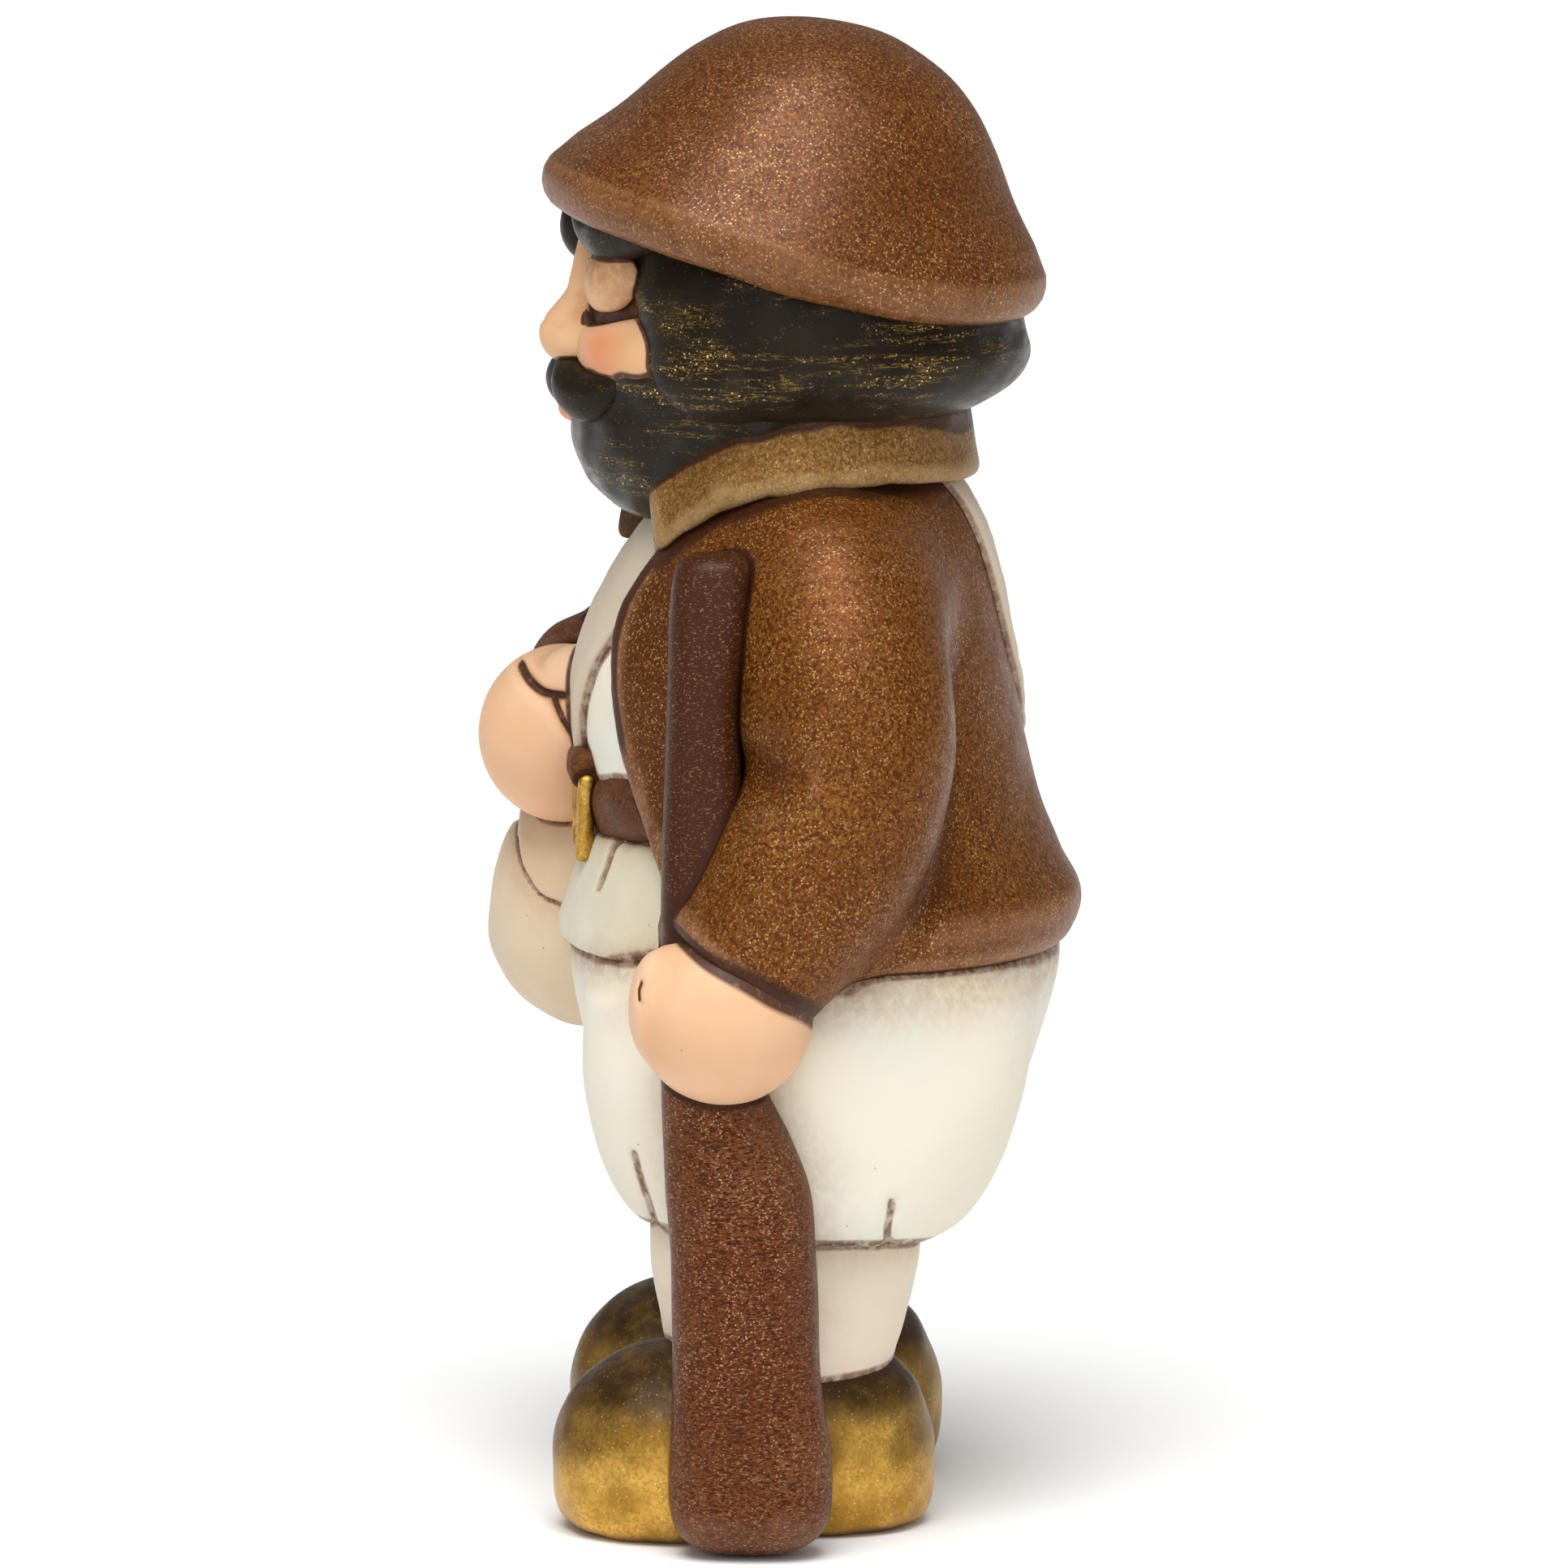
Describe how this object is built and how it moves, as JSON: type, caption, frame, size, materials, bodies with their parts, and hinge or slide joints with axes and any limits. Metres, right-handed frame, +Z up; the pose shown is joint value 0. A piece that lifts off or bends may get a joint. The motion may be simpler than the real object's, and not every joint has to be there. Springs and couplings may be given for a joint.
{
  "type": "standing shepherd figurine",
  "caption": "Hand-painted ceramic shepherd figurine: stout bearded figure in a beret, jacket and breeches, with a shoulder satchel and a thick staff.",
  "frame": {"origin": "on the ground under the middle of the figure's outline", "axes": "+Z up; the figure faces -Y and its left hand is at +X"},
  "size_m": [0.0936, 0.0679, 0.1697],
  "materials": {
    "cap": "hand-painted speckled metallic brown, satin",
    "hair": "hand-painted near-black olive with gold dry brush, satin",
    "skin": "hand-painted peach with airbrushed blush, satin",
    "lip": "hand-painted red, satin",
    "collar": "hand-painted speckled olive tan, satin",
    "jacket": "hand-painted speckled metallic brown with darker folds, satin",
    "ivory": "hand-painted ivory with beige airbrush in the folds, satin",
    "beige": "hand-painted beige with brown wash in the folds, satin",
    "belt": "hand-painted dark brown, satin",
    "gold": "antique gold paint with brown airbrush at the edges, satin",
    "staff": "hand-painted speckled dark red-brown, satin"
  },
  "bodies": {
    "root": {"cap": "cap", "hair": "hair", "head": "skin", "nose": "skin", "eyelid_left": "skin", "eyelid_right": "skin", "cheek_left": "skin", "cheek_right": "skin", "brow_left": "hair", "brow_right": "hair", "moustache_left": "hair", "moustache_right": "hair", "lower_lip": "lip", "beard": "hair", "collar": "collar", "jacket": "jacket", "sleeve_left": "jacket", "sleeve_right": "jacket", "hand_left": "skin", "hand_right": "skin", "shirt": "ivory", "shirt_tail": "ivory", "belt": "belt", "buckle": "gold", "buckle_prong": "gold", "satchel_strap_front": "beige", "satchel_strap_back": "beige", "satchel": "beige", "satchel_flap": "beige", "breeches": "ivory", "sock_left": "beige", "sock_right": "beige", "shoe_left": "gold", "shoe_right": "gold", "staff": "staff"}
  },
  "joints": []
}
